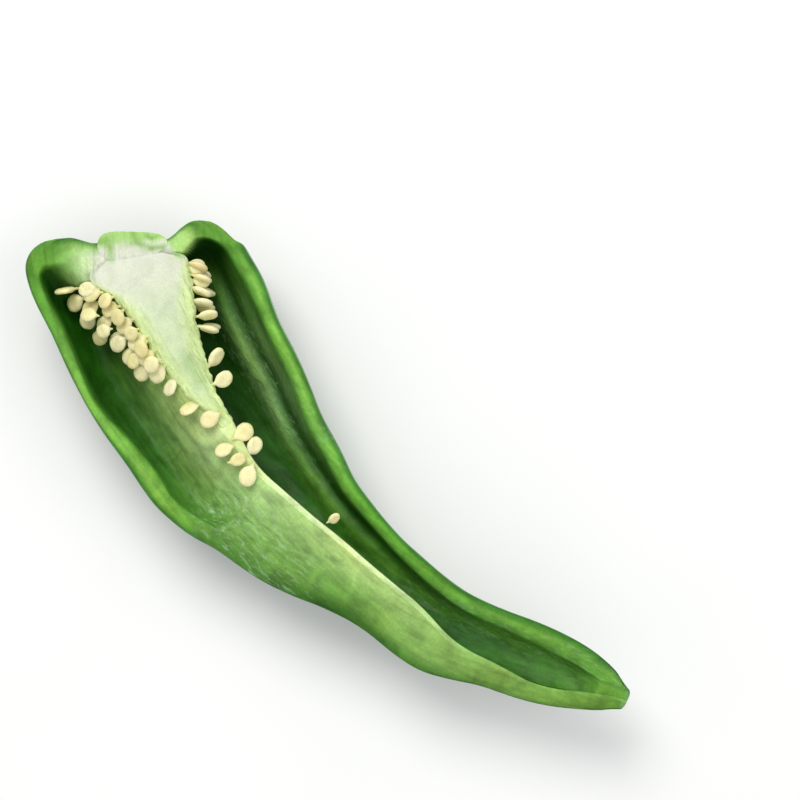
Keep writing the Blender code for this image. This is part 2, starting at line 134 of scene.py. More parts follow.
# Colours of the flesh, as (mm along, colour).
fleshColours = {
    "skin": "#124a0e",
    "skinLight": "#276e1c",
    "rimOuter": "#2f7420",
    "rim": [
        (0, "#5a9230"), (10, "#5e9832"), (22, "#7cb648"), (50, "#7eb84a"), (70, "#70ae3e"), (88, "#67a932"),
        (116, "#689f38"), (156, "#629c38"),
    ],
    "rimInner": "#5d9c38",
    # Left chamber wall: its own green darkened by painted shade, darkest deep in the chamber at the stem end.
    "shadedChamberWall": [(0, "#174a08"), (20, "#1c5209"), (34, "#2a5c16"), (50, "#3f7a2c"), (64, "#5f9838")],
    # The rib's slope: painted shade low down by the chamber floor, rising to a paler top that is partly the
    # flesh's own colour and partly painted light.
    "shadedRampLow": [
        (0, "#1c5a0c"), (20, "#2a6412"), (34, "#41762a"), (50, "#5c8f38"), (64, "#78aa4c"), (156, "#6ea044"),
    ],
    "rampHigh": [
        (0, "#4f8a28"), (20, "#86b048"), (34, "#a9c878"), (48, "#c9de9c"), (60, "#a8ca80"), (76, "#a2c674"),
        (90, "#abcc7a"), (104, "#9dc06c"), (118, "#84ac54"), (156, "#62963a"),
    ],
    # The plain cut flesh: darker at the skin edge by painted shade, lighter towards the crest (rampHigh) by
    # painted light, over the flesh's own green.
    "shadedFleshEdge": [
        (0, "#528c2e"), (64, "#50882c"), (80, "#427820"), (94, "#336718"), (108, "#467c28"), (126, "#5f903a"),
        (156, "#589034"),
    ],
    "fleshMiddle": [
        (0, "#76a84a"), (64, "#7bae50"), (80, "#74a748"), (94, "#70a145"), (108, "#86b058"), (126, "#7aa64c"),
        (156, "#66983c"),
    ],
    # Pale cut edge of the rib: its own pale colour with a painted highlight along it, fading towards the tip.
    "crest": [
        (0, "#d6eaa8"), (56, "#d6eca6"), (90, "#dcf2b0"), (108, "#bcdc8c"), (122, "#8fb962"), (146, "#74a84a"),
        (156, "#79b24c"),
    ],
    # Painted shade on the rib's underside, where it overhangs the channel, also laid into the groove between the
    # ridges.
    "under": [(0, "#143f08"), (60, "#1a4a0e"), (110, "#275c12"), (156, "#3f7a20")],
    # The channel floor: its own green darkened by painted shade, darkest deep in at the stem end.
    "channel": [
        (0, "#154608"), (30, "#1d520e"), (60, "#2c6218"), (84, "#33701c"), (110, "#2f6a1e"), (130, "#3f7430"),
        (156, "#5c9a38"),
    ],
    # The channel's long ridges: lighter than the floor, partly their own paler colour and partly painted light on
    # their tops.
    "ridge": [
        (0, "#4a8628"), (20, "#649a40"), (34, "#88bc66"), (50, "#8cbe70"), (64, "#74ac48"), (84, "#5c9832"),
        (156, "#528a34"),
    ],
    "channelWall": [
        (0, "#2a6412"), (30, "#3c742a"), (50, "#5a8e40"), (64, "#66a23c"), (90, "#569a2e"), (120, "#4c8a2a"),
        (156, "#5c9838"),
    ],
    "bump": "#a9d47a",
    "heart": "#dde1cc",
    "arc": "#86b654",
}

# Greener arcs in the collar: path as (mm across, mm along), and mm wide.
collarArcs = [
    ([(-7.6, 1.2), (-5.9, 1.4), (-4.9, 2.8), (-5.1, 4.8)], 0.9),
    ([(0.2, 0.0), (0.9, 1.8), (2.2, 3.0), (4.2, 3.9), (6.6, 3.9)], 0.8),
    ([(3.4, 0.9), (4.4, 1.7), (5.2, 1.2)], 0.5),
]


def colour(text):
    # A hex colour as linear light.
    parts = np.array([int(text[at:at + 2], 16) / 255 for at in (1, 3, 5)])
    return np.where(parts <= 0.04045, parts / 12.92, ((parts + 0.055) / 1.055) ** 2.4)


def readTable(table, where, soft=0.0):
    # Straight-line reading of a table, averaged over a short stretch where it should be soft.
    places, values = zip(*table)
    if not soft:
        return np.interp(where, places, values)
    return sum(np.interp(where + step * soft, places, values) for step in (-2, -1, 0, 1, 2)) / 5


def read(key, where, soft=0.0):
    return readTable(pepper[key], where, soft)


def readColours(table, where):
    if isinstance(table, str):
        return np.broadcast_to(colour(table), np.shape(where) + (3,))
    places = [row[0] for row in table]
    mixed = np.array([colour(row[1]) for row in table])
    return np.stack([np.interp(where, places, mixed[:, channel]) for channel in range(3)], axis=-1)


def tone(key, where=0.0):
    return readColours(fleshColours[key], where)


def smooth(low, high, value):
    share = np.clip((value - low) / (high - low), 0, 1)
    return share * share * (3 - 2 * share)


def window(value, rise, full, fade, gone):
    # Nought, then one from full to fade, then nought again.
    return smooth(rise, full, value) * (1 - smooth(fade, gone, value))


def roundOff(share):
    # A quarter circle up from nought to one.
    return np.sqrt(1 - (1 - np.clip(share, 0, 1)) ** 2)


def bell(value, middle, width):
    return np.exp(-((value - middle) / width) ** 2)


def mix(a, b, share):
    return a + (b - a) * share


def mixColour(a, b, share):
    return a + (b - a) * np.asarray(share)[..., None]


def walkSpine():
    # The curved mid-line: arrays of mm along and plan point, from a Catmull-Rom through the stations.
    rows = np.array(pepper["stations"]) * pepper["length"]
    steps = np.linspace(0, len(rows) - 1, 2400)
    first = np.minimum(steps.astype(int), len(rows) - 2)
    share = (steps - first)[:, None]
    a, b, c, d = [rows[np.clip(first + offset, 0, len(rows) - 1)] for offset in (-1, 0, 1, 2)]
    points = b + 0.5 * share * (c - a + share * (2 * a - 5 * b + 4 * c - d + share * (3 * b - a - 3 * c + d)))
    lengths = np.concatenate([[0], np.cumsum(np.hypot(*np.diff(points, axis=0).T))])
    return lengths, points


spineAlong, spinePoints = walkSpine()
spineLength = float(spineAlong[-1])


def spineAt(along):
    return np.stack([np.interp(along, spineAlong, spinePoints[:, axis]) for axis in (0, 1)], axis=-1)


def headingAt(along):
    # Unit vector along the mid-line, read over 2 mm, and over more of it near both ends.
    step = mix(4.0, 1.0, smooth(12, 26, along)) + 2.5 * smooth(136, 148, along)
    ahead = spineAt(np.clip(along + step, 0, spineLength)) - spineAt(np.clip(along - step, 0, spineLength))
    return ahead / np.linalg.norm(ahead, axis=-1, keepdims=True)


def planPoint(along, across):
    inside = np.clip(along, 0, spineLength)
    forward = headingAt(inside)
    side = np.stack([-forward[..., 1], forward[..., 0]], axis=-1)
    return spineAt(inside) + forward * (along - inside)[..., None] + side * across[..., None]


def shoulder(along, across):
    # The section's size near the stem end, where the shoulders round off; the right one is longer.
    shape = pepper["shoulders"]
    length = mix(shape["left"], shape["right"], smooth(-4, 4, across))
    return mix(shape["least"], 1.0, roundOff(along / length))


def findShift():
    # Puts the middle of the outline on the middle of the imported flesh.
    along = np.linspace(0, spineLength, 400)
    rims = np.concatenate([
        planPoint(along, -read("left", along) * shoulder(along, -9)),
        planPoint(along, read("right", along) * shoulder(along, 9)),
    ])
    low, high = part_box("pepper_flesh")
    middle = 0.5 * (rims.min(axis=0) + rims.max(axis=0)) * mm
    return np.array([0.5 * (low.x + high.x) - middle[0], 0.5 * (low.y + high.y) - middle[1], high.z])


shift = findShift()
cutHeight = (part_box("pepper_flesh")[1].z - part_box("pepper_flesh")[0].z) / mm


def place(along, across, height):
    # Millimetres along, across and high to metres in the frame of the part.
    along, across, height = np.broadcast_arrays(along, across, height)
    plan = planPoint(along.astype(float), across.astype(float)) * mm
    return np.concatenate([plan, (height * mm)[..., None]], axis=-1) + shift


def waves(along, across, height, size, detail=2, seed=0.0):
    # Smooth noise from -1 to 1 at a size in mm, stretched along the pepper if size is a pair.
    alongSize, acrossSize = size if isinstance(size, tuple) else (size, size)
    along, across, height = np.broadcast_arrays(along, across, height)
    flat = zip(along.ravel() / alongSize, across.ravel() / acrossSize, height.ravel() / acrossSize)
    values = [noise.fractal(Vector((x + seed, y - seed, z)), 1.0, 2.1, detail) for x, y, z in flat]
    return np.array(values).reshape(along.shape)


def closedMesh(name, points, faces, tints, extras, materials, faceMaterials=None):
    # A mesh object from arrays, with a colour and other values at each point.
    mesh = bpy.data.meshes.new(name)
    mesh.from_pydata(points.tolist(), [], faces)
    mesh.update()
    tint = mesh.attributes.new("tint", "FLOAT_COLOR", "POINT")
    tint.data.foreach_set("color", np.concatenate([tints, np.ones((len(tints), 1))], axis=1).ravel())
    for key, values in extras.items():
        kind, field = ("FLOAT_VECTOR", "vector") if np.ndim(values) == 2 else ("FLOAT", "value")
        attribute = mesh.attributes.new(key, kind, "POINT")
        attribute.data.foreach_set(field, np.asarray(values, float).ravel())
    for material in materials:
        mesh.materials.append(material)
    if faceMaterials is not None:
        mesh.polygons.foreach_set("material_index", faceMaterials)
    mesh.polygons.foreach_set("use_smooth", [True] * len(mesh.polygons))
    thing = bpy.data.objects.new(name, mesh)
    bpy.context.scene.collection.objects.link(thing)
    return thing


def ringFaces(rows, columns):
    # Quads of a tube of rings, each ring closed round.
    faces = []
    for row in range(rows - 1):
        start = row * columns
        for column in range(columns):
            after = (column + 1) % columns
            faces.append((start + column, start + columns + column, start + columns + after, start + after))
    return faces


def mergePoles(piece):
    # Joins points that fell together, drops empty faces and turns every face outwards.
    shape = bmesh.new()
    shape.from_mesh(piece.data)
    bmesh.ops.remove_doubles(shape, verts=shape.verts[:], dist=0.000002)
    bmesh.ops.dissolve_degenerate(shape, edges=shape.edges[:], dist=0.0000005)
    if shape.calc_volume(signed=True) < 0:
        bmesh.ops.reverse_faces(shape, faces=shape.faces[:])
    shape.to_mesh(piece.data)
    shape.free()
    return piece


def gridPiece(name, along, across, height, tint, wet, materials, faceMaterials=None):
    # A closed piece from a grid of points, each row of it a ring.
    flow = np.stack([along, across, height], axis=-1) * mm
    spots = place(along, across, height)
    extras = {"wet": wet.ravel(), "flow": flow.reshape(-1, 3)}
    faces = ringFaces(*along.shape)
    return mergePoles(closedMesh(
        name, spots.reshape(-1, 3), faces, tint.reshape(-1, 3), extras, materials, faceMaterials,
    ))


def finishPiece(piece, slot, *nodes):
    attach(piece, "root")
    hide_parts(*nodes)
    print(piece.name, "built:", len(piece.data.polygons), "faces")


def addNode(tree, kind, **settings):
    # A node with its settings; a setting whose name is a socket's goes to that socket.
    node = tree.nodes.new(kind)
    for key, value in settings.items():
        if hasattr(node, key):
            setattr(node, key, value)
        else:
            node.inputs[key.replace("_", " ")].default_value = value
    return node


def newMaterial(name, **shaderValues):
    material = bpy.data.materials.new(name)
    material.use_nodes = True
    tree = material.node_tree
    shader = tree.nodes["Principled BSDF"]
    for key, value in shaderValues.items():
        shader.inputs[key.replace("_", " ")].default_value = value
    return material, tree, shader, addNode(tree, "ShaderNodeTexCoord").outputs["Object"]


def addAttribute(tree, name, output):
    return addNode(tree, "ShaderNodeAttribute", attribute_name=name).outputs[output]


def addFlow(tree, scale):
    # A point's own place along, across and high, stretched by a mapping.
    mapping = addNode(tree, "ShaderNodeMapping", Scale=scale)
    tree.links.new(addAttribute(tree, "flow", "Vector"), mapping.inputs["Vector"])
    return mapping.outputs["Vector"]


def addNoise(tree, vector, scale, detail=4.0, distortion=0.0):
    grain = addNode(tree, "ShaderNodeTexNoise", Scale=scale, Detail=detail, Distortion=distortion)
    tree.links.new(vector, grain.inputs["Vector"])
    return grain.outputs["Fac"]


def addRamp(tree, value, stops):
    # Grey ramp: (place, brightness) stops, or colours.
    ramp = addNode(tree, "ShaderNodeValToRGB")
    elements = ramp.color_ramp.elements
    while len(elements) < len(stops):
        elements.new(0.5)
    for element, (at, shade) in zip(elements, stops):
        element.position = at
        element.color = (shade, shade, shade, 1) if np.isscalar(shade) else (*shade, 1)
    tree.links.new(value, ramp.inputs["Fac"])
    return ramp.outputs["Color"]


def setSocket(tree, socket, value):
    # Links a socket, or gives an input its plain value.
    if isinstance(value, bpy.types.NodeSocket):
        tree.links.new(value, socket)
    else:
        socket.default_value = value if np.isscalar(value) else (*value, 1)


def blendColour(tree, kind, share, first, second):
    # Mixes two colours; share and either colour may be a socket or a plain value.
    node = addNode(tree, "ShaderNodeMix", data_type="RGBA", blend_type=kind)
    for at, value in ((0, share), (6, first), (7, second)):
        setSocket(tree, node.inputs[at], value)
    return node.outputs[2]


def addMath(tree, kind, first, second):
    node = addNode(tree, "ShaderNodeMath", operation=kind)
    for socket, value in zip(node.inputs, (first, second)):
        setSocket(tree, socket, value)
    return node.outputs[0]


def addBump(tree, shader, heights):
    # A chain of bumps: (height socket, strength, distance in metres).
    last = None
    for height, strength, distance in heights:
        bump = addNode(tree, "ShaderNodeBump", Strength=strength, Distance=distance)
        tree.links.new(height, bump.inputs["Height"])
        if last:
            tree.links.new(last.outputs["Normal"], bump.inputs["Normal"])
        last = bump
    tree.links.new(last.outputs["Normal"], shader.inputs["Normal"])


def makeMaterial(name, finish):
    # A material from its settings. Patterns: size, detail and distortion of noises, or the size of
    # cells. Shades: what a ramp of a pattern does to the colour, some of them only where it is wet.
    material, tree, shader, coords = newMaterial(name, **finish["shader"])
    patterns = {}
    if finish.get("byWet"):
        patterns["wet"] = addAttribute(tree, "wet", "Fac")
    for key, (scale, *rest) in finish["patterns"].items():
        if key == "cell":
            cell = addNode(tree, "ShaderNodeTexVoronoi", feature="F1", Scale=scale)
            tree.links.new(coords, cell.inputs["Vector"])
            patterns[key] = cell.outputs["Distance"]
        elif isinstance(scale, tuple):
            patterns[key] = addNoise(tree, addFlow(tree, scale), 1.0, *rest)
        else:
            patterns[key] = addNoise(tree, coords, scale, *rest)
    if finish.get("byWet"):
        patterns["lump"] = addMath(tree, "MULTIPLY", patterns[finish["byWet"]], patterns["wet"])
    base = addAttribute(tree, "tint", "Color")
    for kind, key, stops, target in finish["shades"]:
        ramp = addRamp(tree, patterns[key], stops)
        if kind == "SHADE":
            base = blendColour(tree, "MULTIPLY", patterns["wet"] if target == "wet" else 1.0, base, ramp)
            continue
        # The painted sheen shows only where the flesh is wet.
        if key == "paintedSheen":
            ramp = addMath(tree, "MULTIPLY", ramp, patterns["wet"])
        base = blendColour(tree, kind, ramp, base, colour(target) if isinstance(target, str) else target)
    tree.links.new(base, shader.inputs["Base Color"])
    key, stops = finish["roughness"]
    tree.links.new(addRamp(tree, patterns[key], stops), shader.inputs["Roughness"])
    if "wetCoat" in finish:
        coat = addMath(tree, "MULTIPLY", patterns["wet"], finish["wetCoat"])
        tree.links.new(coat, shader.inputs["Coat Weight"])
    addBump(tree, shader, [(patterns[key], *rest) for key, *rest in finish["bumps"]])
    return material


skinFinish = {
    "shader": {"Coat_Weight": 0.35, "Coat_Roughness": 0.12, "IOR": 1.42},
    "patterns": {"patch": (45.0, 5, 0.6), "streak": ((18.0, 150.0, 150.0), 5, 0.3), "fleck": (900.0, 2)},
    "shades": [
        ("SHADE", "patch", [(0.3, 0.55), (0.55, 1.0), (0.75, 1.35)], None),
        ("MIX", "streak", [(0.48, 0.0), (0.72, 0.55)], "#4c9a30"),
        ("MIX", "fleck", [(0.66, 0.0), (0.74, 0.35)], "#7ab85a"),
    ],
    "roughness": ("patch", [(0.3, 0.20), (0.7, 0.34)]),
    "bumps": [("patch", 0.35, 0.0006), ("streak", 0.25, 0.0003), ("fleck", 0.10, 0.0001)],
}
fleshFinish = {
    "shader": {
        "Subsurface_Weight": 0.10, "Subsurface_Scale": 0.002, "Subsurface_Radius": (0.6, 1.0, 0.3),
        "Coat_Roughness": 0.22, "IOR": 1.38, "Specular_IOR_Level": 0.28,
    },
    "byWet": "wrinkle", "wetCoat": 0.45,
    "patterns": {
        "patch": (170.0, 6, 0.8), "broad": (60.0, 3, 0.4), "cell": (1500.0,),
        "fibre": ((110.0, 620.0, 420.0), 5, 0.7), "wrinkle": ((260.0, 620.0, 420.0), 3, 1.6),
        "paintedSheen": ((420.0, 1300.0, 900.0), 4, 0.8),
    },
    "shades": [
        ("SHADE", "patch", [(0.28, 0.70), (0.5, 1.0), (0.72, 1.22)], None),
        ("SHADE", "fibre", [(0.3, 0.78), (0.5, 1.0), (0.72, 1.18)], None),
        ("SHADE", "cell", [(0.0, 1.07), (0.7, 0.92)], None),
        ("MULTIPLY", "broad", [(0.42, 0.0), (0.7, 0.7)], (1.12, 0.98, 0.80)),
        # Painted sheen: whitish specks over the wet flesh, standing in for wet highlights.
        ("MIX", "paintedSheen", [(0.54, 0.0), (0.70, 0.60)], "#a9c9a0"),
    ],
    "roughness": ("patch", [(0.3, 0.38), (0.7, 0.60)]),
    "bumps": [("lump", 0.7, 0.0010), ("patch", 0.35, 0.0005), ("fibre", 0.30, 0.0003), ("cell", 0.15, 0.0001)],
}


# The core: mm across of its two edges and mm deep, at mm along.
core = {
    "left": [
        (4.7, -5.4), (5.2, -7.6), (6.4, -9.9), (8, -10.8), (10, -8.9), (12, -7.1), (16, -5.5), (20, -4.5),
        (25, -4.3), (32, -3.3), (37, -2.8), (42, -1.5), (47, -0.7), (49, -0.2),
    ],
    "right": [
        (4.7, 5.4), (5.2, 7.8), (6.4, 10.5), (8, 11.5), (12, 11.3), (16, 10.5), (20, 9.2), (28, 6.8), (36, 4.7),
        (42, 3.4), (47, 3.1), (49, 2.4),
    ],
    "depth": [(5.4, 7.0), (9, 10.5), (13, 11.0), (20, 9.9), (28, 7.6), (37, 5.3), (43, 3.6), (48, 2.2)],
    "start": 4.7, "end": 49.0, "rows": 150, "top": 56, "under": 34,
    "ragged": 0.55, "furrow": 0.7, "edgeDrop": 0.75,
    "heart": [(0, "#dde1cc"), (10, "#dae0c8"), (20, "#d0ddb8"), (34, "#c8daaa")],
    "fringe": "#d9ee9f", "strip": "#d6eaa8", "green": "#a9c888", "side": "#b7d078", "sideLow": "#7c9c48",
}


def coreReach(along):
    return [readTable(core[side], along, 0.5) for side in ("left", "right", "depth")]


def alongSections():
    # Lines of the half's profile at every row along it.
    rows = pepper["rows"]
    fine = np.arange(0, rows["fineTo"], rows["fineStep"])
    along = np.concatenate([fine, np.linspace(rows["fineTo"], spineLength, rows["others"])])[:, None]
    left, leftWall = read("left", along, 1.1), read("leftWall", along, 1.0)
    crest, half = read("crest", along, 1.8), 0.5 * read("crestWidths", along, 1.0)
    coreLeft, coreRight, coreDepth = coreReach(along)
    # Under the core the rib stops short, so that the core sits on it.
    beside = window(along, 15, 27, 44, 47)
    buried = 1 - smooth(43.5, 47.5, along)
    seatTop = -(coreDepth - 1.5)
    chamber, channel = pepper["leftChamber"], pepper["channel"]
    return {
        "along": along, "left": left, "leftWall": leftWall,
        "right": read("right", along, 1.1), "rightWall": read("rightWall", along, 1.5),
        "foot": np.maximum(crest - read("foot", along, 2.5), -0.9 * (left - leftWall)),
        "fall": read("fall", along, 3.0),
        "edgeLeft": mix(crest - half, coreLeft + 0.4, beside),
        "edgeRight": mix(crest + half, coreRight - 0.8, beside),
        "topLeft": mix(seatTop, -1.0, smooth(14, 27, along)) * buried,
        "topRight": mix(seatTop, -1.6, smooth(14, 27, along)) * buried,
        "run": roundOff((chamber["end"] - along) / chamber["runOut"]),
        "tipRun": roundOff((channel["end"] - along) / channel["runOut"]),
    }


def wallHeight(section, across):
    # Height of the inside of the wall.
    along = section["along"]
    left = read("left", along, 1.2) - section["leftWall"]
    right = read("right", along, 1.2) - section["rightWall"]
    depth = read("depth", along, 3.0) - pepper["floorWall"]
    keel = read("keel", along, 3.0)
    reach = np.where(across > keel, right - keel, left + keel)
    full = np.where(across > keel, pepper["rightFullness"], read("leftFullness", along, 3.0))
    share = np.clip(np.abs(across - keel) / reach, 0, 1)
    return -depth * (1 - share ** full) ** (1 / full)


def cutWidth(section, across):
    # Nought at the left skin, one at the crest.
    return np.clip((across + section["left"]) / (section["edgeLeft"] + section["left"]), 0, 1)


def cutSurface(section, across):
    # The plain cut flesh left of the rib, falling away to the skin.
    share = cutWidth(section, across)
    return -section["fall"] * (1 - share) ** 1.5 + 0.25 * section["fall"] * np.sin(math.pi * share)


def cutTint(section, across):
    # Painted shade and light over the flesh's own green: darker towards the skin, lighter towards the crest.
    share, along = cutWidth(section, across), section["along"]
    tint = mixColour(tone("shadedFleshEdge", along), tone("fleshMiddle", along), smooth(0.02, 0.42, share))
    return mixColour(tint, tone("rampHigh", along), smooth(0.42, 0.96, share))


def openAt(along, across, side):
    # Nought in the end wall, rising to one inside the chamber.
    return roundOff((along - read(side + "Start", across, 0.35)) / 5.0)


def collarTint(along, across):
    # The pale flesh round the stem base, with greener arcs where its bundles were cut.
    along, across = np.broadcast_arrays(along, across)
    wobble = 0.5 * np.sin(1.7 * across + along) * np.cos(1.3 * along - 0.6 * across)
    pale = smooth(0.8, 3.6, along + wobble) * (1 - smooth(8.0, 10.8, np.abs(across + 0.6) + 0.8 * wobble))
    tint = mixColour(tone("bump", along), tone("heart"), pale)
    arc = np.zeros(along.shape)
    for path, width in collarArcs:
        path = np.array(path)
        for spot in np.linspace(0, len(path) - 1, 24):
            at = [np.interp(spot, np.arange(len(path)), path[:, axis]) for axis in (0, 1)]
            arc = np.maximum(arc, np.exp(-((across - at[0]) ** 2 + (along - at[1]) ** 2) / width ** 2))
    return mixColour(tint, tone("arc"), arc * (0.75 + 0.4 * wobble))


def endTint(along, across):
    # The cut flesh of the end wall: pale beside the stem base, greener at the shoulders.
    outer = tone("rim", along)
    tint = mixColour(outer, collarTint(along, across), 1 - smooth(12.0, 17.0, np.abs(across)))
    start = 2.4 * (1 - smooth(8, 14, np.abs(across)))
    tint = mixColour(tint, tone("rimOuter"), 0.75 * (1 - smooth(0.1, 1.5, along - 0.2 * start)))
    return mixColour(tint, outer, smooth(40, 80, along))


def behindEnd(section, across, tint, opened):
    # The end wall's colours, until the chamber opens.
    return mixColour(endTint(section["along"], across), tint, smooth(0.02, 0.45, opened))


def shares(key):
    return np.linspace(0, 1, pepper["columns"][key], endpoint=False)[None, :]


def leftSide(section):
    # Left rim, chamber wall and the rib's slope up to its crest, as (across, height, tint).
    along, run, foot = section["along"], section["run"], section["foot"]
    share = shares("leftRim")
    rimAcross = -section["left"] + section["leftWall"] * share
    rounding = -0.5 * (1 - np.clip(share / 0.2, 0, 1)) ** 2 - 0.3 * smooth(0.82, 1.0, share) * run
    rimHeight = rounding + cutSurface(section, rimAcross)
    lip = mix(0.30, 0.48, smooth(32, 44, along))
    rim = mixColour(tone("rimOuter", along), tone("rim", along), smooth(0.0, 1.0, share / lip))
    rim = mixColour(rim, tone("rimInner", along), smooth(0.6, 1.0, share))
    rimTint = mixColour(cutTint(section, rimAcross), rim, run)

    share = shares("leftWall")
    wallAcross = mix(foot, section["leftWall"] - section["left"], np.cos(0.5 * math.pi * share))
    opened = openAt(along, wallAcross, "left")
    wallHigh = mix(cutSurface(section, wallAcross), wallHeight(section, wallAcross) * opened, run)
    # Painted shade: the wall darkens as it runs down into the chamber.
    wall = mixColour(tone("rimInner", along), tone("shadedChamberWall", along), smooth(0.0, 0.30, share))
    wall = mixColour(cutTint(section, wallAcross), wall, smooth(0.0, 0.45, run))
    wallTint = behindEnd(section, wallAcross, wall, opened)

    share = shares("ramp")
    rampAcross = mix(foot, section["edgeLeft"], share)
    rampFull = mix(section["topLeft"], wallHeight(section, foot), (1 - share) ** 1.5)
    opened = openAt(along, rampAcross, "left")
    rampHigh = mix(cutSurface(section, rampAcross), rampFull * opened, run)
    # Painted shade at the foot of the slope, paler up at the crest, partly painted light.
    ramp = mixColour(tone("shadedRampLow", along), tone("rampHigh", along), share ** 1.3)
    ramp = mixColour(cutTint(section, rampAcross), ramp, smooth(0.0, 0.8, run))
    rampTint = behindEnd(section, rampAcross, ramp, opened)
    return [(rimAcross, rimHeight, rimTint), (wallAcross, wallHigh, wallTint), (rampAcross, rampHigh, rampTint)]


def rightSide(section):
    # Crest, the chamber beyond it with its two long ridges, and the right rim.
    along, tipRun, edgeRight = section["along"], section["tipRun"], section["edgeRight"]
    share = shares("crest")
    crestAcross = mix(section["edgeLeft"], edgeRight, share)
    opened = openAt(along, crestAcross, "left")
    crestHeight = mix(section["topLeft"], section["topRight"], share) + 0.12 * np.sin(math.pi * share)
    # The crest's pale tone carries a painted highlight.
    crestTint = behindEnd(section, crestAcross, tone("crest", along + 0 * share), opened)
    parts = [(crestAcross, crestHeight * opened, crestTint)]

    innerRim = section["right"] - section["rightWall"]
    foot = np.maximum(section["foot"] + pepper["ribWidth"], -0.75 * (section["left"] - section["leftWall"]))
    foot = mix(edgeRight, np.minimum(foot, edgeRight), smooth(8.5, 15.0, along)) - 0.15
    share = shares("under")
    underAcross = mix(edgeRight, foot, share)
    opened = openAt(along, np.maximum(underAcross, 5.0), "right") * tipRun
    underHeight = mix(section["topRight"], wallHeight(section, foot), share ** 1.5) * opened
    # Painted shade under the rib's overhang.
    under = mixColour(tone("crest", along), tone("under", along), smooth(0.0, 0.12, share))
    parts.append((underAcross, underHeight, behindEnd(section, underAcross, under, opened)))

    share, lifts = shares("channel"), pepper["ridgeLift"]
    channelAcross = mix(foot, innerRim, 0.5 - 0.5 * np.cos(math.pi * share ** 0.9))
    opened = openAt(along, np.maximum(channelAcross, 5.0), "right") * tipRun
    ridge = channelAcross - read("ridge", along, 2.0)
    lift = window(along, 10, 20, 84, 104)
    first = bell(ridge, 0.0, 1.8)
    second = bell(ridge, lifts["apart"], 1.8) * (1 - smooth(60, 80, along))
    valley = bell(ridge, lifts["valleyAt"], 0.9)
    ridges = lifts["first"] * first + lifts["second"] * second - lifts["valley"] * valley
    channelHeight = (wallHeight(section, channelAcross) + lift * ridges) * opened
    # Channel floor colour with painted shade, darkest near the stem end.
    tint = tone("channel", along + 0 * share)
    # Lighter along the ridge tops: partly their own colour, partly painted light.
    tint = mixColour(tint, tone("ridge", along), np.clip(first + 0.9 * second, 0, 1) * smooth(6, 16, along))
    # Painted shade in the groove between the ridges.
    tint = mixColour(tint, tone("under", along), 0.6 * valley * lift)
    tint = mixColour(tint, tone("channelWall", along), smooth(0.80, 0.98, share))
    parts.append((channelAcross, channelHeight, behindEnd(section, channelAcross, tint, opened)))

    share = np.linspace(0, 1, pepper["columns"]["rightRim"])[None, :]
    rimAcross = mix(innerRim, section["right"], share)
    rimHeight = -0.55 * (1 - np.clip((1 - share) / 0.16, 0, 1)) ** 2 + 0 * along
    rimHeight = rimHeight - 0.9 * (1 - smooth(0.0, 0.35, share)) * opened[:, -1:]
    rim = mixColour(tone("rimInner", along), tone("rim", along), smooth(0.1, 0.5, share))
    rim = mixColour(rim, tone("rimOuter", along), 0.9 * smooth(0.55, 0.95, share) * smooth(4, 12, along))
    return parts + [(rimAcross, rimHeight, rim)]


def skinSide(section):
    # The outer skin, from the right rim round under the half to the left rim.
    along = section["along"]
    share = np.linspace(0, 1, pepper["columns"]["skin"] + 2)[None, 1:-1]
    turn = mix(share, 0.5 - 0.5 * np.cos(math.pi * share), 0.6)
    keel, depth = read("keel", along, 3.0), read("depth", along, 3.0)
    swing = np.cos(math.pi * turn)
    reach = np.where(swing > 0, section["right"] - keel, section["left"] + keel)
    full = np.where(swing > 0, pepper["rightFullness"], read("leftFullness", along, 3.0))
    height = -depth * (1 - np.abs(swing) ** full) ** (1 / full)
    height = np.where(swing > 0, height, height * (1 - section["fall"] / depth) - section["fall"])
    fromRim = np.minimum(turn, 1 - turn)
    across = keel + reach * swing + np.sign(swing) * 0.035 * reach * bell(fromRim, 0.10, 0.07)
    for centre, deep in pepper["lobes"]:
        height = height + deep * bell(turn, centre, 0.04) * (1 - smooth(95, 140, along))
    tint = tone("skin", along + 0 * share)
    tint = mixColour(tint, tone("skinLight"), smooth(0.10, 0.0, fromRim))
    return across, height, tint


def softenFolds(grids, topCount):
    # Averages columns with their neighbours, round after round, where two surfaces meet.
    columns = pepper["columns"]
    wallFoot = columns["leftRim"] + columns["leftWall"]
    rimFoot = topCount - columns["rightRim"]
    for start, end, rounds in ((wallFoot - 13, wallFoot + 16, 60), (rimFoot - 6, rimFoot + 5, 4), (6, 14, 3)):
        for grid in grids:
            for _ in range(rounds):
                before, after = grid[:, start - 1:end - 1], grid[:, start + 1:end + 1]
                grid[:, start:end] = 0.25 * (before + 2 * grid[:, start:end] + after)


def endCap(grids, row, middle, bulge, tints):
    # Rings that draw the first or the last row in to a point.
    along, across, height = [grid[row] for grid in grids[:3]]
    rings = pepper["caps"]["rings"]
    share = 1 - np.arange(1, rings + 1)[:, None] / rings
    middle = middle * abs(height.min())
    return [
        along[0] + bulge * np.sqrt(1 - share ** 2) + 0 * across, across * share,
        middle + (height - middle) * share, np.broadcast_to(tints, (rings, len(across), 3)), 0 * across * share,
    ]


def wetness(along, across):
    wet = np.zeros(across.shape)
    for strength, alongWay, acrossWay in pepper["wetPatches"]:
        wet = np.maximum(wet, strength * window(along, *alongWay) * window(across, *acrossWay))
    return wet


